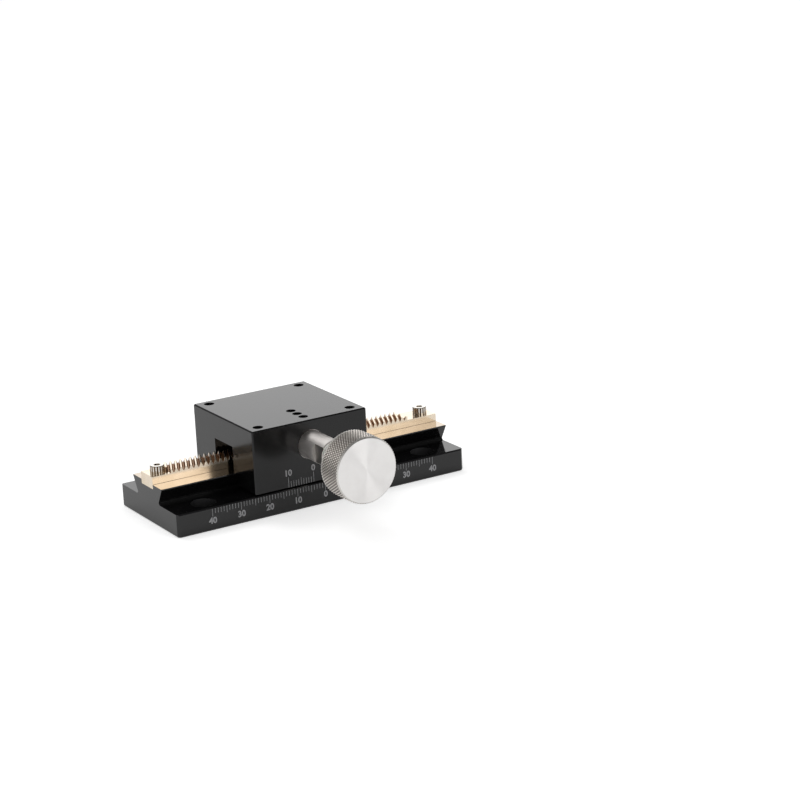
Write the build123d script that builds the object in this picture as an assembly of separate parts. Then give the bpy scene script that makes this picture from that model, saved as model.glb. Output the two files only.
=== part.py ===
from build123d import *
import os
from math import acos, atan2, cos, degrees, pi, radians, sin, tan

# Linear translation stage: a dovetail rail carries a saddle, and a knurled knob drives the
# saddle along the rail through a helical rack and pinion.
#
# Frame: +X along the travel, -Y towards the knob and the scale, +Z up.
# Origin: centre of the base's underside.  All sizes are in millimetres and degrees.

# ---------------------------------------------------------------- driving dimensions
# Base rail
base_length = 104.0
base_width = 40.0
flange_height = 7.45
root_bevel = 0.6                 # sloping corner between the flange and the dovetail's flank
flank_height = 4.7
tip_land = 0.4                   # upright edge above the flank
rail_top_width = 20.0
dovetail_angle = 60.0            # flank against the horizontal
base_corner_chamfer = 0.8
base_edge_chamfer = 0.4
mount_inset_x = 12.0             # hole centres from the base's ends
mount_inset_y = 6.0              # and from its sides
mount_hole_diameter = 4.5
counterbore_diameter = 8.0
counterbore_depth = 4.4

# Gear rack and the gear data that it shares with the pinion
groove_depth = 1.45
groove_side_clearance = 0.15
rack_width = 8.0
rack_root_height = 4.0           # rack's underside to the bottom of its tooth gaps
end_flat_drop = 0.05             # milled end flats below the bottom of the gaps
left_flat_length = 6.5           # flats for the screws, each from its end of the rack
right_flat_length = 11.0
normal_module = 0.5
pressure_angle = 20.0            # in the normal section
helix_angle = 24.0
backlash = 0.08                  # taken off the pinion's teeth at the pitch circle
rack_screw_inset = 3.8           # screw centres from the rack's ends

# Pinion, its shaft and what turns with it
pinion_teeth = 15
pinion_overhang = 0.25           # pinion's width past each side of the rack
shaft_diameter = 5.0
shaft_flat_depth = 0.5
shaft_tail = 0.6                 # shaft behind the retaining ring
ring_thickness = 0.6
ring_groove_depth = 0.5
ring_diameter = 8.0
knob_diameter = 21.2
knob_length = 10.0
hub_diameter = 9.0
hub_length = 9.4
knob_bore_depth = 15.5

# Saddle
saddle_length = 41.0
saddle_height = 20.4
saddle_rest_x = -4.2             # where the saddle stands along the rail at rest
flange_gap = 0.65                # saddle's underside above the flange
saddle_chamfer = 0.4
channel_width = 12.0
screw_head_headroom = 2.25       # channel's ceiling above the rack screws' heads
top_hole_inset_x = 4.0           # hole centres from the saddle's ends
top_hole_inset_y = 3.5           # and from its front and back
top_hole_diameter = 3.3
top_hole_depth = 10.0
pocket_run_out = 0.6             # pinion pocket past the channel's far wall

# Pinion bush and its sleeves
pinion_pass_clearance = 0.05     # radial room for the pinion to pass through the bush's bore
bush_eccentricity = 0.15
bush_projection = 14.0
bush_recess = 0.8
bush_chamfer = 0.45
neck_step = 0.25
spanner_flat_length = 5.5
spanner_size = 7.0
bush_relief = 0.2                # radial room round the shaft between the sleeves
sleeve_diameter = 6.0
sleeve_length = 6.0
washer_thickness = 0.5
washer_inset = 0.3               # washer's rim inside the neck's
bush_screw_pitch = 4.0
bush_screw_inset = 4.4           # first screw from the saddle's front face

# Gib
gib_thickness = 2.0
gib_end_gap = 0.5
gib_edge_gap = 0.25
gib_screw_inset = 7.5            # outer screws from the saddle's ends
gib_screw_recess = 0.8
gib_dimple_depth = 0.9

# Fasteners: thread diameter, head or tip, and hexagon socket
rack_screw_thread = 2.5
rack_screw_head_diameter = 4.5
rack_screw_head_height = 2.5
rack_screw_length = 10.0
rack_screw_socket = 2.0
rack_screw_socket_depth = 1.25
set_screw_thread = 3.0
set_screw_socket = 1.5
set_screw_socket_depth = 1.3
bush_screw_length = 2.5
knob_screw_length = 2.3
dog_diameter = 2.0
dog_length = 1.8

# Clearances
slide_clearance = 0.04           # dovetail faces, square to the face
ceiling_clearance = 0.05
gib_back_clearance = 0.1
shaft_clearance = 0.02           # radial
bush_clearance = 0.02            # radial
thread_clearance = 0.04          # radial
hole_clearance = 0.2             # radial, screw through the rack
end_play = 0.05
washer_bore_clearance = 0.1      # radial
screw_end_clearance = 0.5        # tapped hole below its screw
dog_end_clearance = 0.05

# Modelling
overcut = 1.0                    # how far a cutter runs past the face that it opens
overlap = 0.1                    # how far two forms that make one piece run into each other
tooth_overcut = 0.2              # tooth gap's cutter above the rack

# ---------------------------------------------------------------- derived sizes
flank_slope = 1 / tan(radians(dovetail_angle))      # sideways run of the flank per unit of rise
flank_shift = 1 / sin(radians(dovetail_angle))      # sideways shift of a face moved square to itself
root_z = flange_height + root_bevel
mount_x = base_length / 2 - mount_inset_x
mount_y = base_width / 2 - mount_inset_y
tip_z = root_z + flank_height
rail_top_z = tip_z + tip_land
rail_half = rail_top_width / 2

groove_floor_z = rail_top_z - groove_depth
addendum = normal_module
dedendum = 1.25 * normal_module
rack_root_z = groove_floor_z + rack_root_height
rack_flat_z = rack_root_z - end_flat_drop
rack_top_z = rack_root_z + dedendum + addendum
pitch_line_z = rack_root_z + dedendum
rack_screw_top_z = rack_flat_z + rack_screw_head_height

helix = radians(helix_angle)
transverse_angle = atan2(tan(radians(pressure_angle)), cos(helix))
rack_pitch = pi * normal_module / cos(helix)
pitch_radius = pinion_teeth * normal_module / (2 * cos(helix))
pinion_tip_radius = pitch_radius + addendum
pinion_width = rack_width + 2 * pinion_overhang
left_flat_x = left_flat_length - base_length / 2
right_flat_x = base_length / 2 - right_flat_length
gap_slant = rack_width / 2 * tan(helix)      # a gap's front end stands this far left of its middle
toothed_length = right_flat_x + gap_slant - left_flat_x
gap_count = round(toothed_length / rack_pitch)
first_gap_x = left_flat_x + (toothed_length - (gap_count - 1) * rack_pitch) / 2
rack_screw_x = base_length / 2 - rack_screw_inset

axis_x = saddle_rest_x
axis_z = pitch_line_z + pitch_radius
saddle_width = base_width
saddle_front = -saddle_width / 2
saddle_bottom_z = flange_height + flange_gap
saddle_top_z = saddle_bottom_z + saddle_height
channel_top_z = rack_screw_top_z + screw_head_headroom

barrel_radius = pinion_tip_radius + bush_eccentricity + pinion_pass_clearance
bore_radius = barrel_radius + bush_clearance
neck_radius = barrel_radius - neck_step
bush_x = axis_x + bush_eccentricity
shaft_radius = shaft_diameter / 2
shaft_flat_x = axis_x + shaft_radius - shaft_flat_depth

pinion_front = -pinion_width / 2
pinion_back = pinion_width / 2
washer_front = pinion_front - end_play - washer_thickness
bush_inner_end = washer_front
barrel_front = saddle_front + bush_recess
bush_front = saddle_front - bush_projection
friction_front = bush_front - washer_thickness
hub_back = friction_front - end_play
knob_back = hub_back - hub_length
knob_front = knob_back - knob_length
knob_bore_end = hub_back - knob_bore_depth
ring_front = pinion_back + end_play
ring_back = ring_front + ring_thickness
shaft_back = ring_back + shaft_tail
shaft_front = knob_bore_end + end_play

gib_sideways = gib_thickness * flank_shift
gib_top_z = rail_top_z - gib_edge_gap
gib_bottom_z = saddle_bottom_z + gib_edge_gap
gib_mid_z = (gib_top_z + gib_bottom_z) / 2
saddle_back = saddle_width / 2
gib_screw_back = saddle_back - gib_screw_recess
bush_screw_ys = [saddle_front + bush_screw_inset + i * bush_screw_pitch for i in range(3)]
gib_screw_spread = saddle_length / 2 - gib_screw_inset
gib_screw_xs = [axis_x + i * gib_screw_spread for i in (-1, 0, 1)]
sides = {"left": -1, "right": 1}


# ---------------------------------------------------------------- helpers
def flank_half(z):
    """Half width of the rail at height z, along its sloping flank carried on upwards."""
    return rail_half - (tip_z - z) * flank_slope


def bar_y(radius, y_front, y_back, x=axis_x, z=axis_z):
    """Round bar along Y from y_front to y_back."""
    bar = Rot(90, 0, 0) * Cylinder(radius, y_back - y_front)
    return Pos(x, (y_front + y_back) / 2, z) * bar


def bar_z(radius, z_low, z_high, x=0.0, y=0.0):
    """Round bar along Z from z_low to z_high."""
    return Pos(x, y, (z_low + z_high) / 2) * Cylinder(radius, z_high - z_low)


def block(low, high):
    """Box between two opposite corners."""
    size = Vector(high) - Vector(low)
    return Pos(*low) * Box(size.X, size.Y, size.Z, align=Align.MIN)


def hexagon_pit(size, depth):
    """Hexagon socket whose mouth is at z = 0, cut downwards."""
    outline = RegularPolygon(size / 2, 6, major_radius=False)
    return extrude(Plane.XY.offset(-depth) * outline, depth + overcut)


def edges_along(shape, axis, **places):
    """Edges parallel to an axis whose middles lie at the given coordinates (sign ignored)."""
    found = []
    for edge in shape.edges().filter_by(axis):
        middle = edge.center()
        if all(abs(abs(getattr(middle, name)) - abs(at)) < 1e-4 for name, at in places.items()):
            found.append(edge)
    return found


def set_screw(length, point_length=0.0):
    """Socket set screw standing on z = 0 at its point; a dog point is added below the thread."""
    screw = bar_z(set_screw_thread / 2, 0, length)
    screw -= Pos(0, 0, length) * hexagon_pit(set_screw_socket, set_screw_socket_depth)
    if point_length:
        screw += bar_z(dog_diameter / 2, -point_length, overlap)
    return screw


def cap_screw():
    """Socket cap screw with the underside of its head at z = 0."""
    head = bar_z(rack_screw_head_diameter / 2, 0, rack_screw_head_height)
    shank = bar_z(rack_screw_thread / 2, -rack_screw_length, overlap)
    socket = hexagon_pit(rack_screw_socket, rack_screw_socket_depth)
    return head + shank - Pos(0, 0, rack_screw_head_height) * socket


def ring_y(outer_radius, inner_radius, y_front, y_back, x=axis_x):
    """Plain ring round the drive's axis; the bore stays on the shaft when x is moved aside."""
    ring = bar_y(outer_radius, y_front, y_back, x)
    return ring - bar_y(inner_radius, y_front - overcut, y_back + overcut)


# ---------------------------------------------------------------- base
def base_rail():
    """Flanged rail: its section is drawn once and drawn out to length."""
    half = base_width / 2
    edge = base_edge_chamfer
    groove_half = rack_width / 2 + groove_side_clearance
    right = [
        (groove_half, groove_floor_z),
        (groove_half, rail_top_z),
        (rail_half, rail_top_z),
        (rail_half, tip_z),
        (flank_half(root_z), root_z),
        (flank_half(root_z) + root_bevel, flange_height),
        (half - edge, flange_height),
        (half, flange_height - edge),
        (half, 0),
    ]
    left = [(-y, z) for y, z in reversed(right)]
    section = Plane.YZ * make_face(Polyline(*right, *left, close=True))
    rail = Pos(-base_length / 2, 0, 0) * extrude(section, base_length)
    corners = edges_along(rail, Axis.Z, X=base_length / 2, Y=half)
    rail = chamfer(corners, base_corner_chamfer)
    rail = chamfer(rail.faces().sort_by(Axis.Z)[0].edges(), edge)
    for x in (-mount_x, mount_x):
        for y in (-mount_y, mount_y):
            rail -= bar_z(mount_hole_diameter / 2, -overcut, flange_height + overcut, x, y)
            seat_z = flange_height - counterbore_depth
            rail -= bar_z(counterbore_diameter / 2, seat_z, flange_height, x, y)
    tapped_radius = rack_screw_thread / 2 + thread_clearance
    tapped_end = rack_flat_z - rack_screw_length - screw_end_clearance
    for side in sides.values():
        rail -= bar_z(tapped_radius, tapped_end, groove_floor_z + overcut, side * rack_screw_x)
    return rail


def gear_rack():
    """Brass bar with oblique trapezoidal gaps, milled flat at both ends for its screws."""
    half_length = base_length / 2
    half_width = rack_width / 2
    bar = block((-half_length, -half_width, groove_floor_z), (half_length, half_width, rack_top_z))
    mouth_z = rack_top_z + tooth_overcut
    half_root = rack_pitch / 4 - dedendum * tan(transverse_angle)
    half_mouth = rack_pitch / 4 + (mouth_z - pitch_line_z) * tan(transverse_angle)
    reach = half_width + overcut
    shift = reach * tan(helix)
    gaps = []
    for i in range(gap_count):
        x = first_gap_x + i * rack_pitch + shift
        outline = Polyline(
            (x - half_root, rack_root_z),
            (x + half_root, rack_root_z),
            (x + half_mouth, mouth_z),
            (x - half_mouth, mouth_z),
            close=True,
        )
        face = Plane.XZ.offset(-reach) * make_face(outline)
        gaps.append(extrude(face, 2 * reach, dir=(-tan(helix), -1, 0)))
    bar -= gaps
    bar -= block((-half_length - overcut, -reach, rack_flat_z), (left_flat_x, reach, mouth_z))
    bar -= block((right_flat_x, -reach, rack_flat_z), (half_length + overcut, reach, mouth_z))
    hole_radius = rack_screw_thread / 2 + hole_clearance
    for side in sides.values():
        bar -= bar_z(hole_radius, groove_floor_z - overcut, rack_top_z, side * rack_screw_x)
    return bar


# ---------------------------------------------------------------- saddle
def jaw_half(z, gap):
    """Distance from the middle to a jaw face that stands square off the rail's flank by gap."""
    return flank_half(z) + gap * flank_shift


def saddle():
    """Block with a dovetail underneath, a channel over the rack and a bore for the drive."""
    ceiling_z = rail_top_z + ceiling_clearance
    behind_gib = slide_clearance + gib_thickness + gib_back_clearance
    channel_half = channel_width / 2
    section = [
        (saddle_front, saddle_bottom_z),
        (saddle_front, saddle_top_z),
        (saddle_back, saddle_top_z),
        (saddle_back, saddle_bottom_z),
        (jaw_half(saddle_bottom_z, behind_gib), saddle_bottom_z),
        (jaw_half(ceiling_z, behind_gib), ceiling_z),
        (channel_half, ceiling_z),
        (channel_half, channel_top_z),
        (-channel_half, channel_top_z),
        (-channel_half, ceiling_z),
        (-jaw_half(ceiling_z, slide_clearance), ceiling_z),
        (-jaw_half(saddle_bottom_z, slide_clearance), saddle_bottom_z),
    ]
    body = extrude(Plane.YZ * make_face(Polyline(*section, close=True)), saddle_length)
    body = Pos(axis_x - saddle_length / 2, 0, 0) * body
    corners = edges_along(body, Axis.Z, Y=saddle_front)
    rim = body.faces().sort_by(Axis.Z)[-1].edges()
    body = chamfer(corners + list(rim), saddle_chamfer)

    body -= bar_y(bore_radius, saddle_front - overcut, channel_half + pocket_run_out, bush_x)
    for sx in (-1, 1):
        for sy in (-1, 1):
            x = axis_x + sx * (saddle_length / 2 - top_hole_inset_x)
            y = sy * (saddle_width / 2 - top_hole_inset_y)
            hole_end_z = saddle_top_z - top_hole_depth
            body -= bar_z(top_hole_diameter / 2, hole_end_z, saddle_top_z + overcut, x, y)
    screw_hole = set_screw_thread / 2 + thread_clearance
    for y in bush_screw_ys:
        body -= bar_z(screw_hole, axis_z, saddle_top_z + overcut, bush_x, y)
    for x in gib_screw_xs:
        body -= bar_y(screw_hole, jaw_half(gib_bottom_z, 0), saddle_back + overcut, x, gib_mid_z)
    return body


def gib_strip():
    """Strip between the rail's rear flank and the saddle's rear jaw, dimpled for the screws."""
    near = slide_clearance
    far = slide_clearance + gib_thickness
    section = [
        (jaw_half(gib_bottom_z, near), gib_bottom_z),
        (jaw_half(gib_top_z, near), gib_top_z),
        (jaw_half(gib_top_z, far), gib_top_z),
        (jaw_half(gib_bottom_z, far), gib_bottom_z),
    ]
    length = saddle_length - 2 * gib_end_gap
    strip = extrude(Plane.YZ * make_face(Polyline(*section, close=True)), length)
    strip = Pos(axis_x - length / 2, 0, 0) * strip
    dimple_radius = dog_diameter / 2 + thread_clearance
    dimple_floor = gib_dog_y() - dog_end_clearance
    for x in gib_screw_xs:
        strip -= bar_y(dimple_radius, dimple_floor, saddle_back, x, gib_mid_z)
    return strip


def gib_dog_y():
    """Where the dog points of the gib screws end, inside the strip."""
    return jaw_half(gib_mid_z, slide_clearance + gib_thickness) - gib_dimple_depth


def gib_screw(x):
    """Dog point set screw through the rear jaw, its socket at the saddle's back."""
    thread_front = gib_dog_y() + dog_length
    screw = set_screw(gib_screw_back - thread_front, dog_length)
    return Pos(x, thread_front, gib_mid_z) * (Rot(-90, 0, 0) * screw)


def bush_screw(y):
    """Set screw that stands on the bush's barrel and clamps it."""
    return Pos(bush_x, y, axis_z + barrel_radius) * set_screw(bush_screw_length)


# ---------------------------------------------------------------- drive
def pinion_bush():
    """Eccentric bush: barrel in the saddle, neck in front of it, flats for a spanner."""
    bush = bar_y(barrel_radius, barrel_front, bush_inner_end, bush_x)
    neck = bar_y(neck_radius, bush_front, barrel_front + overlap, bush_x)
    bush += chamfer(neck.edges().group_by(Axis.Y)[0], bush_chamfer)
    flat_front = (spanner_size / 2, bush_front - overcut, -barrel_radius)
    flat_back = (barrel_radius, bush_front + spanner_flat_length, barrel_radius)
    flat = block(flat_front, flat_back)
    bush -= Pos(bush_x, 0, axis_z) * (flat + mirror(flat, Plane.YZ))
    before = bush_front - overcut
    behind = bush_inner_end + overcut
    bush -= bar_y(shaft_radius + bush_relief, before, behind)
    bush -= bar_y(sleeve_diameter / 2, before, bush_front + sleeve_length)
    return bush - bar_y(sleeve_diameter / 2, bush_inner_end - sleeve_length, behind)


def sleeve(y_front):
    """Bearing sleeve pressed into one end of the bush."""
    return ring_y(sleeve_diameter / 2, shaft_radius + shaft_clearance, y_front, y_front + sleeve_length)


def washer(y_front):
    """Flat washer round the shaft."""
    inner_radius = shaft_radius + washer_bore_clearance
    return ring_y(neck_radius - washer_inset, inner_radius, y_front, y_front + washer_thickness)


def flat_cut(y_front, y_back):
    """Block that leaves the shaft's flat when it is cut away."""
    low = (shaft_flat_x, y_front, axis_z - shaft_diameter)
    return block(low, (shaft_flat_x + shaft_diameter, y_back, axis_z + shaft_diameter))


def pinion_shaft():
    """Shaft with a flat under the pinion, a flat under the knob and a ring groove."""
    shaft = bar_y(shaft_radius, shaft_front, shaft_back)
    shaft -= flat_cut(pinion_front, shaft_back + overcut)
    shaft -= flat_cut(shaft_front - overcut, hub_back - end_play)
    return shaft - ring_y(shaft_diameter, shaft_radius - ring_groove_depth, ring_front, ring_back)


def involute(angle):
    """Involute function of a pressure angle in radians."""
    return tan(angle) - angle


def pinion_outline(turn):
    """Closed outline of the pinion in the XZ plane, one tooth pointing down when turn is 0."""
    base_radius = pitch_radius * cos(transverse_angle)
    root_radius = pitch_radius - dedendum
    thickness = rack_pitch / 2 - backlash
    half_at_base = thickness / (2 * pitch_radius) + involute(transverse_angle)
    half_at_tip = half_at_base - involute(acos(base_radius / pinion_tip_radius))
    flank = [(root_radius, half_at_base), (base_radius, half_at_base), (pinion_tip_radius, half_at_tip)]
    points = []
    for tooth in range(pinion_teeth):
        middle = turn + tooth * 2 * pi / pinion_teeth
        left = [(r, middle - a) for r, a in flank]
        right = [(r, middle + a) for r, a in reversed(flank)]
        points += [(axis_x + r * sin(a), axis_z - r * cos(a)) for r, a in left + right]
    return Polyline(*points, close=True)


def pinion_gear():
    """Helical pinion: its outline drawn out along Y with a twist, in mesh with the rack."""
    gap_number = round((axis_x - first_gap_x) / rack_pitch)
    gap_x = first_gap_x + gap_number * rack_pitch
    in_mesh = (gap_x - axis_x) / pitch_radius
    half_twist = tan(helix) * pinion_width / 2 / pitch_radius
    start = Plane.XZ.offset(-pinion_back) * make_face(pinion_outline(in_mesh + half_twist))
    gear = Solid.extrude_linear_with_rotation(
        start.face(),
        center=(axis_x, pinion_back, axis_z),
        normal=(0, -pinion_width, 0),
        angle=-degrees(2 * half_twist),
    )
    before = pinion_front - overcut
    behind = pinion_back + overcut
    bore = bar_y(shaft_radius + shaft_clearance, before, behind)
    return gear - (bore - Pos(shaft_clearance, 0, 0) * flat_cut(before, behind))


def retaining_ring():
    """Open ring snapped into the shaft's groove behind the pinion."""
    inner_radius = shaft_radius - ring_groove_depth + shaft_clearance
    ring = ring_y(ring_diameter / 2, inner_radius, ring_front, ring_back)
    low = (axis_x - shaft_radius / 2, ring_front - overcut, axis_z)
    high = (axis_x + shaft_radius / 2, ring_back + overcut, axis_z + ring_diameter)
    return ring - block(low, high)


def control_knob():
    """Turned knob: a slim hub behind a wide head, bored from the back for the shaft."""
    head = bar_y(knob_diameter / 2, knob_front, knob_back)
    knob = head + bar_y(hub_diameter / 2, knob_back - overlap, hub_back)
    knob -= bar_y(shaft_radius + shaft_clearance, knob_bore_end, hub_back + overcut)
    screw_hole = Rot(0, 90, 0) * bar_z(set_screw_thread / 2 + thread_clearance, 0, hub_diameter)
    return knob - Pos(axis_x, knob_screw_y(), axis_z) * screw_hole


def knob_screw_y():
    """The knob's set screw stands in the middle of the hub."""
    return (hub_back + knob_back) / 2


def knob_screw():
    """Set screw through the hub, its point on the shaft's flat."""
    screw = Rot(0, 90, 0) * set_screw(knob_screw_length)
    return Pos(shaft_flat_x, knob_screw_y(), axis_z) * screw


# ---------------------------------------------------------------- the pieces
nodes = {
    "base_rail": base_rail(),
    "gear_rack": gear_rack(),
    "carriage_body": saddle(),
    "gib_strip": gib_strip(),
    "pinion_bush": pinion_bush(),
    "inner_sleeve": sleeve(bush_inner_end - sleeve_length),
    "outer_sleeve": sleeve(bush_front),
    "thrust_washer": washer(washer_front),
    "friction_washer": washer(friction_front),
    "pinion_shaft": pinion_shaft(),
    "pinion_gear": pinion_gear(),
    "retaining_ring": retaining_ring(),
    "control_knob": control_knob(),
    "knob_set_screw": knob_screw(),
}
for name, side in sides.items():
    nodes["rack_screw_" + name] = Pos(side * rack_screw_x, 0, rack_flat_z) * cap_screw()
for name, y in zip(("outer", "middle", "inner"), bush_screw_ys):
    nodes["bush_screw_" + name] = bush_screw(y)
for name, x in zip(("left", "middle", "right"), gib_screw_xs):
    nodes["gib_screw_" + name] = gib_screw(x)

os.makedirs("parts", exist_ok=True)
for name, shape in nodes.items():
    export_step(shape, "parts/" + name + ".step")
    print(name, round(shape.volume, 2))
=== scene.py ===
# %% [markdown]
# # A linear translation stage
# A translation stage moves whatever is bolted to it along one straight line. This one has a
# dovetail rail of black anodised aluminium, a saddle that slides on it, a brass helical rack and
# a knurled knob whose pinion runs in that rack.
# The solids come from CAD and are the fixed frame of this lesson. Blender adds the finishes, the
# engraved scale, the knurling, the camera and the light. Everything is in metres, +X along the
# travel, -Y towards the knob and +Z up.

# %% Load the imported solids
import math
import bmesh
import bpy
from mathutils import Matrix, Vector


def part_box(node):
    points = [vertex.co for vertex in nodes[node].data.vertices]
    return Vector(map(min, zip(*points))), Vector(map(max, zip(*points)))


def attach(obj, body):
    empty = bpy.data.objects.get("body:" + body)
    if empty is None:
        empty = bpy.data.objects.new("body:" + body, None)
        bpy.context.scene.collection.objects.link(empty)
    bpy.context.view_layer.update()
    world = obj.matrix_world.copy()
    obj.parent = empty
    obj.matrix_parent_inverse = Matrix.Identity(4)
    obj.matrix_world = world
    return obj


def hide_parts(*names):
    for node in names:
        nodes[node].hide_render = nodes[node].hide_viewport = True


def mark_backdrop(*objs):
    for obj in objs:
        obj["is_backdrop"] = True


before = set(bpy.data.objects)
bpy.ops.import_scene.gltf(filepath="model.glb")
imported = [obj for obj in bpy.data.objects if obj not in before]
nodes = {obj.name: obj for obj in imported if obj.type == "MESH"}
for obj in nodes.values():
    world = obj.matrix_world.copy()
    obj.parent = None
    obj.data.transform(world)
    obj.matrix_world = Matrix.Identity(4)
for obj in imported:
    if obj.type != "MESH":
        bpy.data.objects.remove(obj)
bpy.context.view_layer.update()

mm = 0.001

# %% [markdown]
# ## Places that later cells use
# A box round each CAD node says where its faces are, so nothing is measured twice. Only what a
# box can't tell, such as the height of the flange beside the dovetail, is a named size here.

# %% Read the faces from the frame
base_low, base_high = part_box("base_rail")
saddle_low, saddle_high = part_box("carriage_body")
rack_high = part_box("gear_rack")[1]
knob_low, knob_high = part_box("control_knob")

base_front = base_low.y
flange_top = 7.45 * mm
saddle_x = (saddle_low.x + saddle_high.x) / 2
saddle_front = saddle_low.y
drive_axis = Vector(((knob_low.x + knob_high.x) / 2, 0, (knob_low.z + knob_high.z) / 2))
knob_radius = (knob_high.x - knob_low.x) / 2
knob_front = knob_low.y
knob_length = 10.0 * mm
print("drive axis:", [round(v / mm, 3) for v in drive_axis])
print("knob radius:", round(knob_radius / mm, 2))

# %% [markdown]
# ## The camera
# The stage is seen from its left front corner, a little from above, with a long lens, so that
# its parallel edges stay nearly parallel. A camera could be aimed with a constraint, but a turn,
# a tilt and a roll written as three angles say the same and stay as they are in other views.

# %% Set the camera
view_turn = math.radians(-30.969)
view_height = math.radians(16.45)
view_roll = math.radians(-2.737)
view_aim = Vector((0, 0, 15 * mm))
view_offset = Vector((0.034451, 0.013931, 0.735626))
sensor_width = 36.0
lens = 102.98

camera_data = bpy.data.cameras.new("camera")
camera_data.sensor_width = sensor_width
camera_data.lens = lens
camera_data.clip_start = 0.01
camera_data.clip_end = 50.0
camera = bpy.data.objects.new("camera", camera_data)
bpy.context.scene.collection.objects.link(camera)
turn = Matrix.Rotation(view_turn, 4, "Z")
tilt = Matrix.Rotation(math.pi / 2 - view_height, 4, "X")
roll = Matrix.Rotation(view_roll, 4, "Z")
aim = Matrix.Translation(view_aim)
camera.matrix_world = aim @ turn @ tilt @ roll @ Matrix.Translation(view_offset)
bpy.context.scene.camera = camera
bpy.context.scene.view_settings.view_transform = "Standard"
print("camera at", [round(v, 3) for v in camera.matrix_world.translation])

# %% [markdown]
# ## The studio
# Black gloss shows nothing but its surroundings, so the studio matters as much as the finish. The
# stage stands on a wide white floor. The sky is white down at the horizon and grey overhead, which
# keeps edges and tooth gaps dark beside bright flats. Four soft boxes add shape: a weak one on the
# left, one low behind the stage that skims its top, one in front that draws the fan on the knob's
# face, and one high behind the stage that lights whatever is round from above. The floor glows a
# little, more to the eye than in mirrors, so that it stays white where the lamps don't reach.

# %% Build the studio
floor_half = 6.0
sky_level = 0.55
overhead_level = 0.15
white_below = 0.18
grey_above = 0.50
floor_colour = 0.90
floor_lifts = {"Is Camera Ray": 0.50, "Is Glossy Ray": 0.20}


def per_ray(tree, levels):
    """Sum of a level for each kind of ray, so that each kind meets its own level."""
    path = tree.nodes.new("ShaderNodeLightPath")
    total = None
    for ray, level in levels.items():
        term = tree.nodes.new("ShaderNodeMath")
        term.operation = "MULTIPLY_ADD"
        tree.links.new(path.outputs[ray], term.inputs[0])
        term.inputs[1].default_value = level
        term.inputs[2].default_value = 0.0
        if total is not None:
            tree.links.new(total, term.inputs[2])
        total = term.outputs["Value"]
    return total


def white_sky():
    """World that looks white at the horizon and grey overhead, and lights the stage evenly."""
    world = bpy.data.worlds.new("white_sky")
    world.use_nodes = True
    tree = world.node_tree
    direction = tree.nodes.new("ShaderNodeTexCoord")
    parts = tree.nodes.new("ShaderNodeSeparateXYZ")
    tree.links.new(direction.outputs["Generated"], parts.inputs["Vector"])
    fall = tree.nodes.new("ShaderNodeMapRange")
    fall.interpolation_type = "SMOOTHSTEP"
    fall.inputs["From Min"].default_value = white_below
    fall.inputs["From Max"].default_value = grey_above
    fall.inputs["To Min"].default_value = 1.0
    fall.inputs["To Max"].default_value = overhead_level
    tree.links.new(parts.outputs["Z"], fall.inputs["Value"])
    level = tree.nodes.new("ShaderNodeMapRange")
    level.inputs["To Min"].default_value = sky_level
    seen = per_ray(tree, {"Is Camera Ray": 1, "Is Glossy Ray": 1})
    tree.links.new(seen, level.inputs["Value"])
    tree.links.new(fall.outputs["Result"], level.inputs["To Max"])
    tree.nodes["Background"].inputs["Color"].default_value = (1, 1, 1, 1)
    tree.links.new(level.outputs["Result"], tree.nodes["Background"].inputs["Strength"])
    return world


def white_floor():
    """Matt white floor with a little light of its own, which only the eye and mirrors see."""
    material = bpy.data.materials.new("white_floor")
    material.use_nodes = True
    tree = material.node_tree
    shader = tree.nodes["Principled BSDF"]
    shader.inputs["Base Color"].default_value = (floor_colour, floor_colour, floor_colour, 1)
    shader.inputs["Roughness"].default_value = 1.0
    shader.inputs["Specular IOR Level"].default_value = 0.0
    shader.inputs["Emission Color"].default_value = (1, 1, 1, 1)
    tree.links.new(per_ray(tree, floor_lifts), shader.inputs["Emission Strength"])
    shape = bmesh.new()
    bmesh.ops.create_grid(shape, x_segments=1, y_segments=1, size=floor_half)
    mesh = bpy.data.meshes.new("floor")
    shape.to_mesh(mesh)
    shape.free()
    mesh.materials.append(material)
    floor = bpy.data.objects.new("floor", mesh)
    bpy.context.scene.collection.objects.link(floor)
    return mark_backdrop(floor)


def soft_box(name, turn, height, distance, size, power):
    """Square lamp that looks at the stage from a direction given by two angles in degrees."""
    lamp = bpy.data.lights.new(name, "AREA")
    lamp.shape = "SQUARE"
    lamp.size = size
    lamp.energy = power
    box = bpy.data.objects.new(name, lamp)
    bpy.context.scene.collection.objects.link(box)
    side = Matrix.Rotation(math.radians(turn), 4, "Z")
    lean = Matrix.Rotation(math.radians(90 - height), 4, "X")
    away = Matrix.Translation((0, 0, distance))
    box.matrix_world = Matrix.Translation(view_aim) @ side @ lean @ away
    print(name, "stands at", [round(v, 2) for v in box.matrix_world.translation])


bpy.context.scene.world = white_sky()
white_floor()
soft_box("left_box", turn=-80, height=45, distance=1.0, size=0.5, power=0.15)
soft_box("back_box", turn=149, height=22, distance=1.1, size=0.6, power=0.75)
soft_box("front_box", turn=19, height=24, distance=1.0, size=0.5, power=0.85)
soft_box("top_box", turn=-168, height=56, distance=1.0, size=0.5, power=1.8)

# %% [markdown]
# ## Small helpers for materials
# A procedural finish is a little graph of nodes. Small helpers keep each recipe short: they start
# a material, add a node and set its values in one line, or do a bit of arithmetic on two values.

# %% Material helpers
def start_material(name):
    """New material with its node tree and its main shader."""
    material = bpy.data.materials.new(name)
    material.use_nodes = True
    return material, material.node_tree, material.node_tree.nodes["Principled BSDF"]


def add_node(tree, kind, **values):
    """New shader node; a value goes to the input of that name, or else to a node's setting."""
    node = tree.nodes.new("ShaderNode" + kind)
    for name, value in values.items():
        socket = node.inputs.get(name.replace("_", " "))
        if socket is None:
            setattr(node, name, value)
        else:
            socket.default_value = value
    return node


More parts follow.
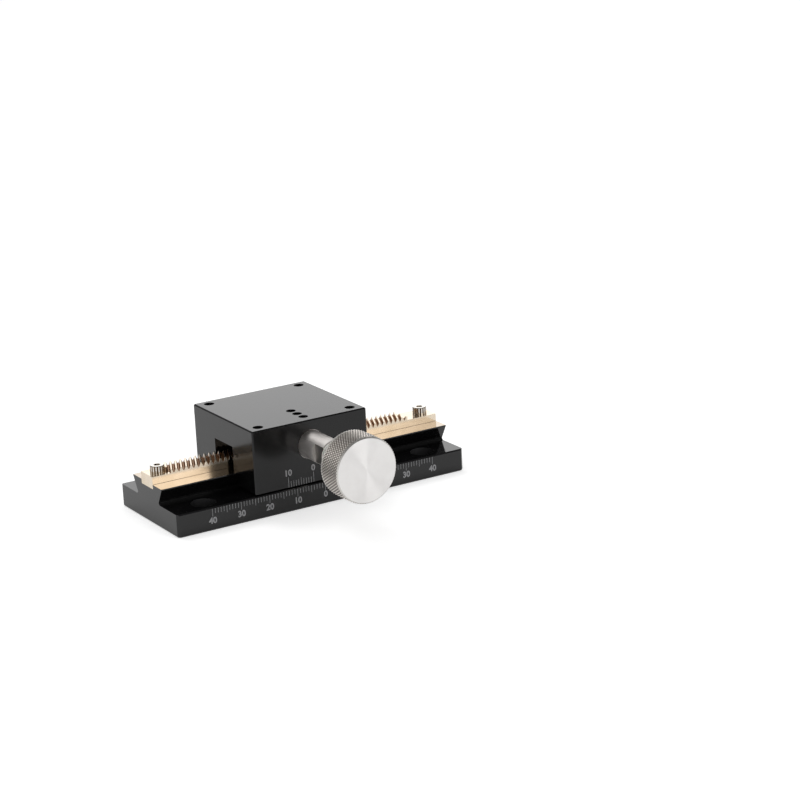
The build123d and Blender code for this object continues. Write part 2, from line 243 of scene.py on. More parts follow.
def object_coordinates(tree, scale=(1, 1, 1), centre=(0, 0, 0)):
    """Object coordinates, measured from a centre and stretched by a scale."""
    place = add_node(tree, "TexCoord")
    shift = add_node(tree, "VectorMath", operation="SUBTRACT")
    shift.inputs[1].default_value = centre
    stretch = add_node(tree, "VectorMath", operation="MULTIPLY")
    stretch.inputs[1].default_value = scale
    tree.links.new(place.outputs["Object"], shift.inputs[0])
    tree.links.new(shift.outputs["Vector"], stretch.inputs[0])
    return stretch.outputs["Vector"]


def noise(tree, vector, scale, detail=2.0, roughness=0.5):
    """Noise from 0 to 1 on the given coordinates."""
    node = add_node(tree, "TexNoise", Scale=scale, Detail=detail, Roughness=roughness)
    tree.links.new(vector, node.inputs["Vector"])
    return node.outputs["Fac"]


def arithmetic(tree, operation, first, second):
    """Sum, product or another combination of two values."""
    node = add_node(tree, "Math", operation=operation)
    tree.links.new(first, node.inputs[0])
    tree.links.new(second, node.inputs[1])
    return node.outputs["Value"]


def spread(tree, value, low, high):
    """Turns a value that runs from 0 to 1 into one that runs from low to high."""
    node = add_node(tree, "MapRange")
    node.inputs["To Min"].default_value = low
    node.inputs["To Max"].default_value = high
    tree.links.new(value, node.inputs["Value"])
    return node.outputs["Result"]


def shade(tree, value, dark, light):
    """Colour between dark and light, by a value that runs from 0 to 1."""
    ramp = add_node(tree, "ValToRGB")
    ramp.color_ramp.elements[0].position = 0.3
    ramp.color_ramp.elements[0].color = (*dark, 1)
    ramp.color_ramp.elements[1].position = 0.7
    ramp.color_ramp.elements[1].color = (*light, 1)
    tree.links.new(value, ramp.inputs["Fac"])
    return ramp.outputs["Color"]


def bump(tree, shader, height, depth):
    """Raises the surface by height times depth, over edges that are softened a little."""
    soft_edge = add_node(tree, "Bevel", samples=4, Radius=edge_softness)
    node = add_node(tree, "Bump", Strength=1.0, Distance=depth)
    tree.links.new(height, node.inputs["Height"])
    tree.links.new(soft_edge.outputs["Normal"], node.inputs["Normal"])
    tree.links.new(node.outputs["Normal"], shader.inputs["Normal"])


edge_softness = 0.08 * mm
mask_margin = 0.01 * mm
print("helpers ready, edges are softened by", edge_softness / mm, "mm")

# %% [markdown]
# ## Black anodised aluminium
# Anodising turns the skin of machined aluminium into clear oxide, and a dye sinks into it. Under
# the dye hardly any light comes back, so what one sees is the reflection on the oxide: grey where
# the surface is met at a flat angle, black where it faces the eye. That is a dark base colour,
# no metal, and a roughness that says how the face was machined. Cutter marks run along the
# travel, so the noise is stretched that way. The rail is lapped smooth, and its top was skimmed
# after the dyeing, so above that height the same recipe turns into bare metal, tinted warm as a
# painted reflection of the brass rack. Its counterbores are dull inside.

# %% Anodised finishes
def compare(tree, value, operation, limit):
    """1 where the value is above or below the limit, and 0 elsewhere."""
    node = add_node(tree, "Math", operation=operation)
    tree.links.new(value, node.inputs[0])
    node.inputs[1].default_value = limit
    return node.outputs["Value"]


def painted_over(tree, under, colour, where):
    """The value below, with a plain colour over it where the mask is 1."""
    node = add_node(tree, "MixRGB", Color2=colour)
    tree.links.new(where, node.inputs["Fac"])
    tree.links.new(under, node.inputs["Color1"])
    return node.outputs["Color"]


def inside_bores(tree, place, height):
    """1 on the walls of the four counterbores, which lie alike about the middle."""
    folded = add_node(tree, "VectorMath", operation="ABSOLUTE")
    tree.links.new(place, folded.inputs[0])
    flat = add_node(tree, "VectorMath", operation="MULTIPLY")
    flat.inputs[1].default_value = (1, 1, 0)
    tree.links.new(folded.outputs["Vector"], flat.inputs[0])
    away = add_node(tree, "VectorMath", operation="DISTANCE")
    away.inputs[1].default_value = bore_place
    tree.links.new(flat.outputs["Vector"], away.inputs[0])
    near = compare(tree, away.outputs["Value"], "LESS_THAN", bore_radius + 2 * mask_margin)
    below = compare(tree, height, "LESS_THAN", flange_top - mask_margin)
    return arithmetic(tree, "MULTIPLY", near, below)


def anodised(name, tone, roughness, grain_depth, ior=1.52, bare_above=None):
    """Dyed oxide over machined aluminium; bare metal with painted brass reflection above a given
    height.
    """
    material, tree, shader = start_material(name)
    along = object_coordinates(tree, scale=cutter_streaks)
    everywhere = object_coordinates(tree)
    marks = noise(tree, along, lapping_scale, detail=3.0)
    cloud = noise(tree, everywhere, dye_scale, detail=2.0)
    grain = noise(tree, everywhere, grain_scale, detail=1.0)
    dark = tuple(0.8 * tone * part for part in (1.0, 1.0, 1.08))
    light = tuple(1.2 * tone * part for part in (1.0, 0.98, 1.05))
    colour = shade(tree, cloud, dark, light)
    roughness_value = spread(tree, marks, roughness * 0.85, roughness * 1.15)
    if bare_above:
        parts = add_node(tree, "SeparateXYZ")
        tree.links.new(everywhere, parts.inputs["Vector"])
        bare = compare(tree, parts.outputs["Z"], "GREATER_THAN", bare_above)
        # Painted reflection: the bare top takes a warm tint that stands in for the brass rack
        # reflected on it.
        colour = painted_over(tree, colour, bare_metal_and_brass_reflection, bare)
        tree.links.new(bare, shader.inputs["Metallic"])
        bored = inside_bores(tree, everywhere, parts.outputs["Z"])
        colour = painted_over(tree, colour, bored_tone, bored)
        roughness_value = painted_over(tree, roughness_value, bored_roughness, bored)
    tree.links.new(colour, shader.inputs["Base Color"])
    tree.links.new(roughness_value, shader.inputs["Roughness"])
    bump(tree, shader, arithmetic(tree, "ADD", marks, grain), grain_depth)
    shader.inputs["IOR"].default_value = ior
    return material


cutter_streaks = (0.06, 1.0, 1.0)
lapping_scale = 6000
dye_scale = 90
grain_scale = 9000
# The rail top's bare metal colour is warm: a painted reflection of the brass rack.
bare_metal_and_brass_reflection = (0.58, 0.49, 0.39, 1)
bored_tone = (0.018, 0.018, 0.019, 1)
bored_roughness = (0.5, 0.5, 0.5, 1)
bore_place = (40 * mm, 14 * mm, 0)
bore_radius = 4.0 * mm
satin_black = anodised("satin_black_anodising", 0.004, 0.17, 0.0004 * mm, ior=1.46)
slide_black = anodised(
    "slide_black_anodising", 0.004, 0.10, 0.0001 * mm, bare_above=base_high.z - mask_margin
)
print("made", satin_black.name, "and", slide_black.name)

# %% [markdown]
# ## Bare metals
# Stainless and spring steel, bronze and blackened steel differ in colour and in how they were
# worked. They share one idea: fine marks raise the surface, and tone and roughness vary a little.
# For milled parts the marks are straight, and for turned parts they are rings round the axis, which
# a wave texture draws when it is centred on that axis. A wave of scale s repeats every 0.31 / s.
# The bush also has two flats for a spanner. They were milled, and a mask finds them by their
# distance from the bush's axis and paints them darker, as painted shade.

# %% Metal recipes
along_x = (0.05, 1.0, 1.0)
along_y = (1.0, 0.1, 1.0)


def milled_metal(name, dark, light, roughness, streaks=along_x):
    """Metal with straight cutter marks; streaks says how far they are drawn out."""
    material, tree, shader = start_material(name)
    along = object_coordinates(tree, scale=streaks)
    marks = noise(tree, along, milling_scale, detail=3.0)
    cloud = noise(tree, object_coordinates(tree), tarnish_scale, detail=3.0)
    tree.links.new(shade(tree, cloud, dark, light), shader.inputs["Base Color"])
    rough = spread(tree, marks, roughness * 0.8, roughness * 1.25)
    tree.links.new(rough, shader.inputs["Roughness"])
    bump(tree, shader, marks, mill_depth)
    shader.inputs["Metallic"].default_value = 1.0
    return material


def turned_metal(name, dark, light, roughness, centre=drive_axis, flats_at=None):
    """Metal with the fine rings that a lathe leaves round an axis along Y, and painted shade on
    milled flats.
    """
    material, tree, shader = start_material(name)
    place = object_coordinates(tree, centre=centre)
    ring_scale = wave_period / ring_pitch
    rings = add_node(tree, "TexWave", wave_type="RINGS", rings_direction="Y", Scale=ring_scale)
    rings.inputs["Distortion"].default_value = 0.6
    rings.inputs["Detail"].default_value = 2.0
    tree.links.new(place, rings.inputs["Vector"])
    along = add_node(tree, "TexWave", wave_type="BANDS", bands_direction="Y", Scale=ring_scale)
    tree.links.new(place, along.inputs["Vector"])
    both = arithmetic(tree, "ADD", rings.outputs["Fac"], along.outputs["Fac"])
    cloud = noise(tree, place, 300, detail=3.0)
    colour = shade(tree, cloud, dark, light)
    if flats_at:
        parts = add_node(tree, "SeparateXYZ")
        tree.links.new(place, parts.inputs["Vector"])
        aside = add_node(tree, "Math", operation="ABSOLUTE")
        tree.links.new(parts.outputs["X"], aside.inputs[0])
        on_flat = compare(tree, aside.outputs["Value"], "COMPARE", flats_at)
        on_flat.node.inputs[2].default_value = mask_margin
        # Painted shade: the milled flats are painted a dark grey.
        colour = painted_over(tree, colour, flat_painted_shade, on_flat)
    tree.links.new(colour, shader.inputs["Base Color"])
    rough = spread(tree, cloud, roughness * 0.85, roughness * 1.2)
    tree.links.new(rough, shader.inputs["Roughness"])
    bump(tree, shader, both, ring_depth)
    shader.inputs["Metallic"].default_value = 1.0
    return material


milling_scale = 5000
tarnish_scale = 220
mill_depth = 0.001 * mm
wave_period = 0.31
ring_pitch = 0.05 * mm
ring_depth = 0.0008 * mm
# Dark grey of the bush's spanner flats: painted shade.
flat_painted_shade = (0.22, 0.21, 0.20, 1)
bush_flats = 3.5 * mm
bush_low, bush_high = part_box("pinion_bush")
bush_axis = Vector(((bush_low.x + bush_high.x) / 2, 0, (bush_low.z + bush_high.z) / 2))
stainless = turned_metal("turned_stainless", (0.66, 0.64, 0.61), (0.76, 0.74, 0.71), 0.46)
bush_steel = turned_metal(
    "bush_stainless", (0.84, 0.80, 0.77), (0.93, 0.89, 0.86), 0.46, bush_axis, bush_flats
)
bright_steel = turned_metal("bright_stainless", (0.78, 0.74, 0.68), (0.86, 0.82, 0.77), 0.14)
# Duller finish for the screws' groove walls, painted dark brown as painted shade.
dull_groove_shade = milled_metal("serrated_stainless", (0.22, 0.15, 0.09), (0.32, 0.22, 0.13), 0.45)
gear_steel = milled_metal(
    "hobbed_stainless", (0.50, 0.49, 0.47), (0.60, 0.59, 0.57), 0.30, streaks=along_y
)
black_steel = milled_metal("black_oxide_steel", (0.035, 0.035, 0.037), (0.06, 0.06, 0.062), 0.35)
spring_steel = milled_metal(
    "phosphated_spring_steel", (0.16, 0.16, 0.165), (0.24, 0.24, 0.245), 0.45
)
bronze = turned_metal("sintered_bronze", (0.42, 0.27, 0.14), (0.56, 0.38, 0.21), 0.5)
metals = (stainless, bush_steel, bright_steel, dull_groove_shade, gear_steel, black_steel, spring_steel)
print("metals:", [metal.name for metal in metals], "and", bronze.name)

# %% [markdown]
# ## The rack's brass
# The bar was milled bright, and its teeth were cut afterwards. Their gaps are painted dark brown,
# a painted shade that fades out near the tips. A mask finds them: everything above the bottom of
# the gaps and below the tips of the teeth that doesn't face the front or the back.

# %% Rack brass
def rack_brass(name, dark, light, gap_shade, roughness):
    """Bright milled brass with painted shade in the tooth gaps."""
    material, tree, shader = start_material(name)
    everywhere = object_coordinates(tree)
    along = object_coordinates(tree, scale=along_x)
    marks = noise(tree, along, milling_scale, detail=3.0)
    cloud = noise(tree, everywhere, tarnish_scale, detail=3.0)
    parts = add_node(tree, "SeparateXYZ")
    tree.links.new(everywhere, parts.inputs["Vector"])
    depth = add_node(tree, "MapRange", interpolation_type="SMOOTHSTEP")
    depth.inputs["From Min"].default_value = rack_high.z - gap_shade_fade
    depth.inputs["From Max"].default_value = rack_high.z - 2 * mask_margin
    depth.inputs["To Min"].default_value = 1.0
    depth.inputs["To Max"].default_value = 0.0
    tree.links.new(parts.outputs["Z"], depth.inputs["Value"])
    above = compare(tree, parts.outputs["Z"], "GREATER_THAN", gap_bottom - 2 * mask_margin)
    facing = add_node(tree, "NewGeometry")
    sides = add_node(tree, "SeparateXYZ")
    tree.links.new(facing.outputs["Normal"], sides.inputs["Vector"])
    turned = add_node(tree, "Math", operation="ABSOLUTE")
    tree.links.new(sides.outputs["Y"], turned.inputs[0])
    inner = compare(tree, turned.outputs["Value"], "LESS_THAN", facing_limit)
    mask = arithmetic(tree, "MULTIPLY", depth.outputs["Result"], above)
    mask = arithmetic(tree, "MULTIPLY", mask, inner)
    # Painted shade: the tooth gaps take a dark brown in place of the brass.
    colour = painted_over(tree, shade(tree, cloud, dark, light), gap_shade, mask)
    tree.links.new(colour, shader.inputs["Base Color"])
    rough = spread(tree, marks, roughness * 0.8, roughness * 1.25)
    rough = painted_over(tree, rough, gap_roughness, mask)
    tree.links.new(rough, shader.inputs["Roughness"])
    bump(tree, shader, marks, mill_depth / 2)
    shader.inputs["Metallic"].default_value = 1.0
    return material


gap_bottom = 15.7 * mm
gap_shade_fade = 0.7 * mm
facing_limit = 0.8
gap_roughness = (0.4, 0.4, 0.4, 1)
# Its fourth colour is the painted shade of the tooth gaps.
brass = rack_brass(
    "milled_brass", (0.80, 0.68, 0.52), (0.89, 0.77, 0.62), (0.40, 0.22, 0.10, 1), 0.15
)
print("made", brass.name)

# %% [markdown]
# ## Nylon
# The two washers are plain nylon: milky, slightly see-through and a little waxy. A touch of
# subsurface scattering gives that, with a faint unevenness in the roughness.

# %% Nylon finish
def nylon_finish():
    """Natural nylon."""
    material, tree, shader = start_material("natural_nylon")
    cloud = noise(tree, object_coordinates(tree), 900, detail=2.0)
    colour = shade(tree, cloud, (0.78, 0.76, 0.69), (0.84, 0.82, 0.76))
    tree.links.new(colour, shader.inputs["Base Color"])
    tree.links.new(spread(tree, cloud, 0.35, 0.5), shader.inputs["Roughness"])
    bump(tree, shader, cloud, 0.001 * mm)
    shader.inputs["Subsurface Weight"].default_value = 0.15
    shader.inputs["Subsurface Scale"].default_value = 0.3 * mm
    return material


nylon = nylon_finish()
print("made", nylon.name)

# %% [markdown]
# ## Dress the CAD pieces
# Each solid keeps its shape and takes one finish. The table below says which, piece by piece.

# %% Assign the finishes
finishes = {
    "base_rail": slide_black,
    "carriage_body": satin_black,
    "gear_rack": brass,
    "gib_strip": brass,
    "pinion_bush": bush_steel,
    "pinion_shaft": stainless,
    "control_knob": stainless,
    "pinion_gear": gear_steel,
    "rack_screw_left": gear_steel,
    "rack_screw_right": gear_steel,
    "inner_sleeve": bronze,
    "outer_sleeve": bronze,
    "thrust_washer": nylon,
    "friction_washer": nylon,
    "retaining_ring": spring_steel,
}
for name, node in nodes.items():
    node.data.materials.clear()
    node.data.materials.append(finishes.get(name, black_steel))
print("dressed", len(nodes), "pieces;", len(nodes) - len(finishes), "screws are blackened steel")

# %% [markdown]
# ## Helpers for new pieces
# A new piece is built in a bmesh, which holds loose geometry and offers the same operators as
# the editor. Once finished it becomes a mesh object that rides on one of the moving bodies.

# %% Piece helpers
def finish_piece(name, shape, body, materials):
    """Turns a bmesh into an object that moves with a body."""
    bmesh.ops.recalc_face_normals(shape, faces=shape.faces)
    mesh = bpy.data.meshes.new(name)
    shape.to_mesh(mesh)
    shape.free()
    for material in materials:
        mesh.materials.append(material)
    piece = bpy.data.objects.new(name, mesh)
    bpy.context.scene.collection.objects.link(piece)
    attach(piece, body)
    print(name, "has", len(mesh.polygons), "faces")
    return piece


def add_bar(shape, centre, size):
    """Adds a rectangular bar, given its middle and its three sizes."""
    place = Matrix.Translation(centre) @ Matrix.Diagonal((*size, 1))
    bmesh.ops.create_cube(shape, size=1.0, matrix=place)


print("piece helpers ready")

# %% [markdown]
# ## Engraving
# The scale is engraved with a laser, which bleaches the dye and leaves pale grey marks. They
# could be painted by a texture, but real strips, half sunk in the face, stay sharp at any distance
# and are part of the mesh. The finish is a matt grey, slightly uneven.

# %% Engraving finish
def engraving_finish():
    """Bleached anodising."""
    material, tree, shader = start_material("laser_engraving")
    speckle = noise(tree, object_coordinates(tree), 12000, detail=2.0)
    colour = shade(tree, speckle, (0.24, 0.24, 0.25), (0.42, 0.42, 0.43))
    tree.links.new(colour, shader.inputs["Base Color"])
    tree.links.new(spread(tree, speckle, 0.5, 0.75), shader.inputs["Roughness"])
    return material


engraving = engraving_finish()
mark_depth = 0.03 * mm
line_width = 0.14 * mm
print("made", engraving.name, "with lines", line_width / mm, "mm wide")

# %% [markdown]
# ## The base's scale
# Eighty-one lines, one for each millimetre, start at the base's upper front edge. Every fifth is
# longer and every tenth longer still. A loop draws them, so the rule for the lengths is written
# once.

# %% Draw the millimetre lines
scale_half = 40
base_edge_z = flange_top - 0.4 * mm
base_lengths = {1: 1.6 * mm, 5: 2.2 * mm, 10: 2.5 * mm}


def line_length(lengths, number):
    """Length of the line at a whole number of divisions."""
    if number % 10 == 0:
        return lengths[10]
    return lengths[5] if number % 5 == 0 else lengths[1]


lines = bmesh.new()
for millimetre in range(-scale_half, scale_half + 1):
    length = line_length(base_lengths, millimetre)
    middle = (millimetre * mm, base_front, base_edge_z - length / 2)
    add_bar(lines, middle, (line_width, mark_depth, length))
finish_piece("base_scale_lines", lines, "base", [engraving])

# %% [markdown]
# ## The vernier's lines
# The saddle carries a vernier: ten divisions over nine millimetres, so that the line that meets
# one of the base's lines tells the tenths. Its zero is close to the saddle's middle, and it grows
# to the left.

# %% Draw the vernier's lines
vernier_divisions = 10
vernier_pitch = 0.9 * mm
vernier_lengths = {1: 1.9 * mm, 5: 2.5 * mm, 10: 3.3 * mm}
vernier_offset = 0.2 * mm
vernier_zero_x = saddle_x + vernier_offset
saddle_edge_z = saddle_low.z
lines = bmesh.new()
for division in range(vernier_divisions + 1):
    length = line_length(vernier_lengths, division)
    middle = (vernier_zero_x - division * vernier_pitch, saddle_front, saddle_edge_z + length / 2)
    add_bar(lines, middle, (line_width, mark_depth, length))
finish_piece("vernier_lines", lines, "carriage", [engraving])

# %% [markdown]
# ## Numbers
# Text starts as a font curve, which gives good outlines for free. It is made a mesh at once,
# scaled to its height, stood up against the front face and moved to its line.

# %% Draw the numbers
number_height = 2.1 * mm
number_gap = 0.2 * mm
number_weight = 0.035
vernier_number_gap = 0.4 * mm


def add_number(text, centre, height):
    """Mesh of a number that faces -Y, centred on a point."""
    curve = bpy.data.curves.new("number_curve", "FONT")
    curve.body = text
    curve.align_x = "CENTER"
    curve.extrude = 0.5
    curve.offset = number_weight
    curve.resolution_u = 4
    source = bpy.data.objects.new("number_source", curve)
    bpy.context.scene.collection.objects.link(source)
    depsgraph = bpy.context.evaluated_depsgraph_get()
    mesh = bpy.data.meshes.new_from_object(source.evaluated_get(depsgraph))
    bpy.data.objects.remove(source)
    corners = [vertex.co for vertex in mesh.vertices]
    bottom = min(c.y for c in corners)
    top = max(c.y for c in corners)
    size = height / (top - bottom)
    stand = Matrix.Rotation(math.pi / 2, 4, "X")
    shrink = Matrix.Diagonal((size, size, mark_depth, 1))
    lower = Matrix.Translation((0, -(top + bottom) / 2, 0))
    mesh.transform(Matrix.Translation(centre) @ stand @ shrink @ lower)
    return mesh


def numbers_piece(name, body, places, height):
    """One piece from several numbers; places holds each text and its centre."""
    shape = bmesh.new()
    for text, centre in places:
        shape.from_mesh(add_number(text, centre, height))
    return finish_piece(name, shape, body, [engraving])


number_z = base_edge_z - base_lengths[10] - number_gap - number_height / 2
places = [
    (str(abs(ten)), (ten * mm, base_front, number_z))
    for ten in range(-scale_half, scale_half + 1, 10)
]
numbers_piece("base_scale_numbers", "base", places, number_height)
vernier_z = saddle_edge_z + vernier_lengths[10] + vernier_number_gap + number_height / 2
places = [
    ("0", (vernier_zero_x, saddle_front, vernier_z)),
    ("10", (vernier_zero_x - vernier_divisions * vernier_pitch, saddle_front, vernier_z)),
]
numbers_piece("vernier_numbers", "carriage", places, number_height)

# %% [markdown]
# ## The knob's knurling
# Knurling rolls two sets of helical grooves into the rim, and what stays between them are small
# pyramids on a diamond-shaped foot. A four-sided cone is such a pyramid, so one cone, stretched
# to the diamond, is repeated round the rim and along it. The rows stand half a step apart and
# share their corners once doubles are merged. Two cuts and two caps then make it one closed rod.

# %% Model the knurled rod
diamonds_round = 74
groove_depth = 0.25 * mm
diamond_tip = 0.12
knurl_helix = math.radians(30)
corner_gap = 0.03 * mm
diamond_width = 2 * math.pi * knob_radius / diamonds_round
diamond_length = diamond_width / math.tan(knurl_helix)
knob_middle = knob_front + knob_length / 2


def add_diamond(shape, row, step):
    """Adds one pyramid: its row counts along the rod and its step counts round it."""
    floor_radius = knob_radius - groove_depth
    angle = (step + (row % 2) / 2) * 2 * math.pi / diamonds_round
    foot = floor_radius * math.tan(math.pi / diamonds_round)
    along = Matrix.Translation((0, row * diamond_length / 2, 0))
    outwards = Matrix.Translation((0, 0, floor_radius + groove_depth / 2))
    stretch = Matrix.Diagonal((foot, diamond_length / 2, 1, 1))
    made = bmesh.ops.create_cone(
        shape,
        cap_ends=True,
        segments=4,
        radius1=1.0,
        radius2=diamond_tip,
        depth=groove_depth,
        matrix=along @ Matrix.Rotation(angle, 4, "Y") @ outwards @ stretch,
    )
    faces = {face for vertex in made["verts"] for face in vertex.link_faces}
    feet = [face for face in faces if is_foot(face, floor_radius)]
    bmesh.ops.delete(shape, geom=feet, context="FACES_ONLY")


def is_foot(face, floor_radius):
    """True for the face that closes a pyramid underneath."""
    return all(math.hypot(v.co.x, v.co.z) < floor_radius + groove_depth / 2 for v in face.verts)


def knurled_rod():
    """Closed knurled rod round the drive's axis, a little longer than the knob."""
    shape = bmesh.new()
    rows = math.ceil(knob_length / diamond_length) + 2
    for row in range(-rows, rows + 1):
        for step in range(diamonds_round):
            add_diamond(shape, row, step)
    bmesh.ops.remove_doubles(shape, verts=shape.verts, dist=corner_gap)
    for side in (-1, 1):
        cut = Vector((0, side * (knob_length / 2 + diamond_length / 2), 0))
        geometry = shape.verts[:] + shape.edges[:] + shape.faces[:]
        bmesh.ops.bisect_plane(
            shape, geom=geometry, plane_co=cut, plane_no=(0, side, 0), clear_outer=True
        )
    rims = [edge for edge in shape.edges if edge.is_boundary]
    bmesh.ops.holes_fill(shape, edges=rims)
    bmesh.ops.translate(shape, verts=shape.verts, vec=drive_axis + Vector((0, knob_middle, 0)))
    bmesh.ops.recalc_face_normals(shape, faces=shape.faces)
    return shape


def open_edges(shape):
    """Number of edges that don't join exactly two faces; a closed skin has none."""
    return len([edge for edge in shape.edges if not edge.is_manifold])


rod = knurled_rod()
print("diamonds are", round(diamond_width / mm, 2), "by", round(diamond_length / mm, 2), "mm,")
print("the rod has", len(rod.faces), "faces and", open_edges(rod), "open edges")

# %% [markdown]
# ## Turn the knob's head
# On a lathe the chamfers are cut last and run through the knurling. The same happens here: a
# plain chamfered disc is spun from its outline, and a Boolean keeps what the disc and the knurled
# rod have in common, so the grooves run out in the chamfers as they do on the real knob.

# %% Model the head
knob_chamfer = 0.55 * mm


def spun(outline, steps, place):
    """Solid of revolution round Y, moved to its place; the outline's points are (radius, y)."""
    shape = bmesh.new()
    points = [shape.verts.new((radius, y, 0)) for radius, y in outline]
    for start, end in zip(points, points[1:]):
        shape.edges.new((start, end))
    bmesh.ops.spin(
        shape,
        geom=shape.verts[:] + shape.edges[:],
        axis=(0, 1, 0),
        cent=(0, 0, 0),
        angle=2 * math.pi,
        steps=steps,
        use_merge=True,
    )
    bmesh.ops.remove_doubles(shape, verts=shape.verts, dist=0.001 * mm)
    bmesh.ops.transform(shape, verts=shape.verts, matrix=place)
    bmesh.ops.recalc_face_normals(shape, faces=shape.faces)
    return shape


def as_object(name, shape):
    """Object that only helps to make another one."""
    mesh = bpy.data.meshes.new(name)
    shape.to_mesh(mesh)
    shape.free()
    made = bpy.data.objects.new(name, mesh)
    bpy.context.scene.collection.objects.link(made)
    return made


def combined(first, second, operation):
    """New bmesh from a Boolean of two helper objects, which are removed."""
    modifier = first.modifiers.new("boolean", "BOOLEAN")
    modifier.operation = operation
    modifier.solver = "EXACT"
    modifier.object = second
    depsgraph = bpy.context.evaluated_depsgraph_get()
    mesh = bpy.data.meshes.new_from_object(first.evaluated_get(depsgraph))
    shape = bmesh.new()
    shape.from_mesh(mesh)
    for used in (first, second):
        bpy.data.objects.remove(used)
    return shape


knob_back = knob_front + knob_length
disc_outline = [
    (0, knob_front),
    (knob_radius - knob_chamfer, knob_front),
    (knob_radius, knob_front + knob_chamfer),
    (knob_radius, knob_back - knob_chamfer),
    (knob_radius - knob_chamfer, knob_back),
    (0, knob_back),
]
on_drive = Matrix.Translation(drive_axis)
disc = spun(disc_outline, 240, on_drive)
head = combined(as_object("rod", rod), as_object("disc", disc), "INTERSECT")
print("the head has", len(head.faces), "faces and", open_edges(head), "open edges")

# %% [markdown]
# ## Finish the knob's head
# The face is turned from the rim to the centre. Its fine rings scatter light across them and not
# along them, and that draws the bright fans that swing with the light. The shader has a value
# for this, anisotropy. A radial tangent round Y tells it which way the rings run, and a quarter
# turn from there is the way across them. The knurl's colour follows its height: bright crests, and
# grooves darkened by painted shade.

# %% Knob finishes
def faced_metal(name, dark, light, roughness, anisotropy):
    """Turned face: rings round the axis and the fans of light that they draw."""
    material, tree, shader = start_material(name)
    place = object_coordinates(tree, centre=drive_axis)
    rings = add_node(tree, "TexWave", wave_type="RINGS", rings_direction="Y", Scale=face_ring_scale)
    rings.inputs["Distortion"].default_value = 0.4
    tree.links.new(place, rings.inputs["Vector"])
    cloud = noise(tree, place, 250, detail=2.0)
    tree.links.new(shade(tree, cloud, dark, light), shader.inputs["Base Color"])
    rough = spread(tree, cloud, roughness * 0.9, roughness * 1.1)
    tree.links.new(rough, shader.inputs["Roughness"])
    tangent = add_node(tree, "Tangent", direction_type="RADIAL", axis="Y")
    tree.links.new(tangent.outputs["Tangent"], shader.inputs["Tangent"])
    shader.inputs["Anisotropic"].default_value = anisotropy
    shader.inputs["Anisotropic Rotation"].default_value = across_rings
    shader.inputs["Metallic"].default_value = 1.0
    bump(tree, shader, rings.outputs["Fac"], ring_depth / 2)
    return material


def knurled_metal(name, groove, crest, roughness):
    """Rolled metal: bright crests, and grooves darkened by painted shade."""
    material, tree, shader = start_material(name)
    place = object_coordinates(tree, scale=(1, 0, 1), centre=drive_axis)
    away = add_node(tree, "VectorMath", operation="LENGTH")
    tree.links.new(place, away.inputs[0])
    height = add_node(tree, "MapRange")
    height.inputs["From Min"].default_value = knob_radius - groove_depth
    height.inputs["From Max"].default_value = knob_radius
    tree.links.new(away.outputs["Value"], height.inputs["Value"])
    # Painted shade: the colour darkens from the crests down into the grooves.
    colour = shade(tree, height.outputs["Result"], groove, crest)
    tree.links.new(colour, shader.inputs["Base Color"])
    cloud = noise(tree, object_coordinates(tree), 900, detail=2.0)
    rough = spread(tree, cloud, roughness * 0.85, roughness * 1.2)
    tree.links.new(rough, shader.inputs["Roughness"])
    shader.inputs["Metallic"].default_value = 1.0
    return material


face_ring_scale = 4000
across_rings = 0.25
knob_face_steel = faced_metal(
    "faced_stainless", (0.90, 0.88, 0.865), (0.95, 0.935, 0.92), 0.30, anisotropy=1.0
)
# The first colour is the painted shade in the knurl's grooves.
knurl_steel = knurled_metal("knurled_stainless", (0.22, 0.20, 0.18), (0.84, 0.79, 0.745), 0.40)
for face in head.faces:
    depth = face.calc_center_median().y - knob_front
    on_knurl = knob_chamfer < depth < knob_length - knob_chamfer
    face.material_index = 0 if on_knurl else 1 if depth < 0.001 * mm else 2
    face.smooth = False
head_finishes = [knurl_steel, knob_face_steel, stainless]
knob_head = finish_piece("knob_head", head, "drive", head_finishes)

# %% [markdown]
# ## The knob's hub
# Behind the head stands a plain hub, through which a set screw grips the shaft. On the real knob
# it is one piece with the head. Here an outline and a spin give it, and it starts a little inside
# the head so that no gap shows between them.

# %% Model the hub
hub_radius = 4.5 * mm
hub_overlap = 0.2 * mm
hub_edge = 0.3 * mm
hub_outline = [
    (0, knob_back - hub_overlap),
    (hub_radius, knob_back - hub_overlap),
    (hub_radius, knob_high.y - hub_edge),
    (hub_radius - hub_edge, knob_high.y),
    (0, knob_high.y),
]
hub = spun(hub_outline, 96, on_drive)
finish_piece("knob_hub", hub, "drive", [stainless])
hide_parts("control_knob")
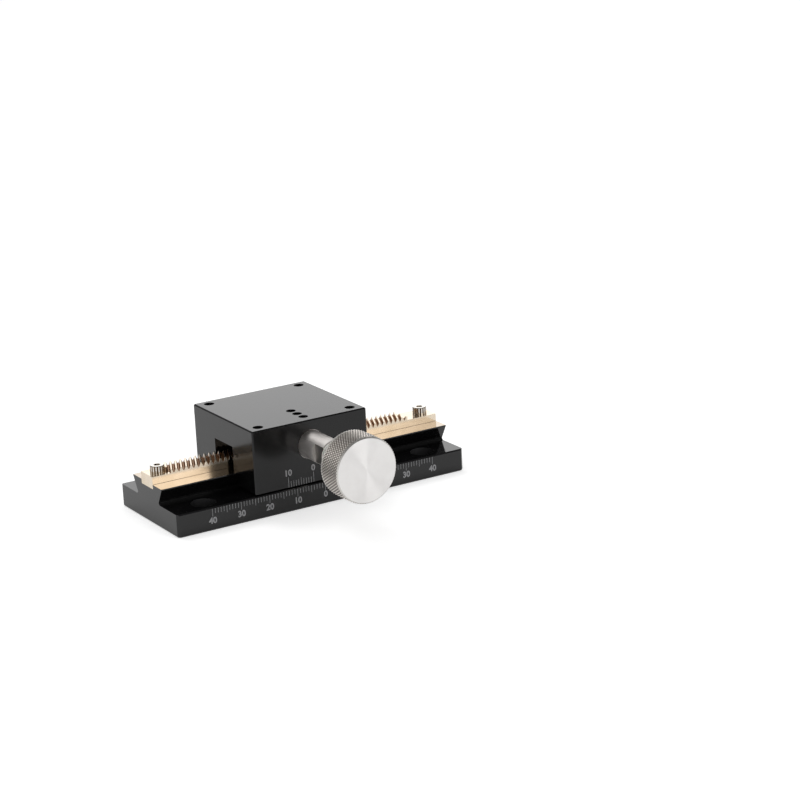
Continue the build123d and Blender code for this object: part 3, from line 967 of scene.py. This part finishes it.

# %% [markdown]
# ## The rack's screws
# Their heads are serrated round the side, so that fingers can spin them in. A spun head and shank
# lose one thin prism for each groove and a six-sided one for the socket, all in one Boolean. The
# grooves' walls then take a duller finish than the crests, and a dark brown that is painted shade.

# %% Model the rack's screws
screw_head_radius = 2.3 * mm
screw_head_height = 2.35 * mm
screw_edge = 0.2 * mm
screw_groove_radius = 0.26 * mm
screw_grooves = 16
groove_overrun = 0.1 * mm
crest_width = 0.03 * mm
screw_shank_radius = 1.25 * mm
socket_radius = 1.15 * mm
socket_depth = 1.25 * mm
rack_flat_z = 15.65 * mm


def add_prism(shape, sides, radius, bottom, top, place):
    """Adds an upright prism between two heights."""
    upright = Matrix.Translation((0, 0, (bottom + top) / 2))
    bmesh.ops.create_cone(
        shape,
        cap_ends=True,
        segments=sides,
        radius1=radius,
        radius2=radius,
        depth=top - bottom,
        matrix=place @ upright,
    )


def serrated_screw(name, node):
    """Socket screw with a serrated head, in place of a packed one."""
    low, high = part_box(node)
    centre = Matrix.Translation(((low.x + high.x) / 2, (low.y + high.y) / 2, 0))
    top = rack_flat_z + screw_head_height
    outline = [
        (0, low.z),
        (screw_shank_radius, low.z),
        (screw_shank_radius, rack_flat_z),
        (screw_head_radius, rack_flat_z),
        (screw_head_radius, top - screw_edge),
        (screw_head_radius - screw_edge, top),
        (0, top),
    ]
    blank = spun(outline, 96, centre @ Matrix.Rotation(math.pi / 2, 4, "X"))
    cutters = bmesh.new()
    add_prism(cutters, 6, socket_radius, top - socket_depth, top + mm, centre)
    for groove in range(screw_grooves):
        turned = Matrix.Rotation(groove * 2 * math.pi / screw_grooves, 4, "Z")
        at_rim = centre @ turned @ Matrix.Translation((screw_head_radius, 0, 0))
        add_prism(cutters, 4, screw_groove_radius, rack_flat_z - groove_overrun, top + mm, at_rim)
    shape = combined(as_object("blank", blank), as_object("cutters", cutters), "DIFFERENCE")
    print(name, "has", open_edges(shape), "open edges")
    axis = centre.translation
    for face in shape.faces:
        middle = face.calc_center_median()
        away = math.hypot(middle.x - axis.x, middle.y - axis.y)
        in_groove = screw_head_radius - screw_groove_radius < away < screw_head_radius - crest_width
        on_wall = abs(face.normal.z) < 0.1
        # Groove walls take the dull finish whose dark brown is painted shade.
        face.material_index = 1 if in_groove and on_wall else 0
    screw = finish_piece(name, shape, "base", [bright_steel, dull_groove_shade])
    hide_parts(node)


serrated_screw("serrated_screw_left", "rack_screw_left")
serrated_screw("serrated_screw_right", "rack_screw_right")
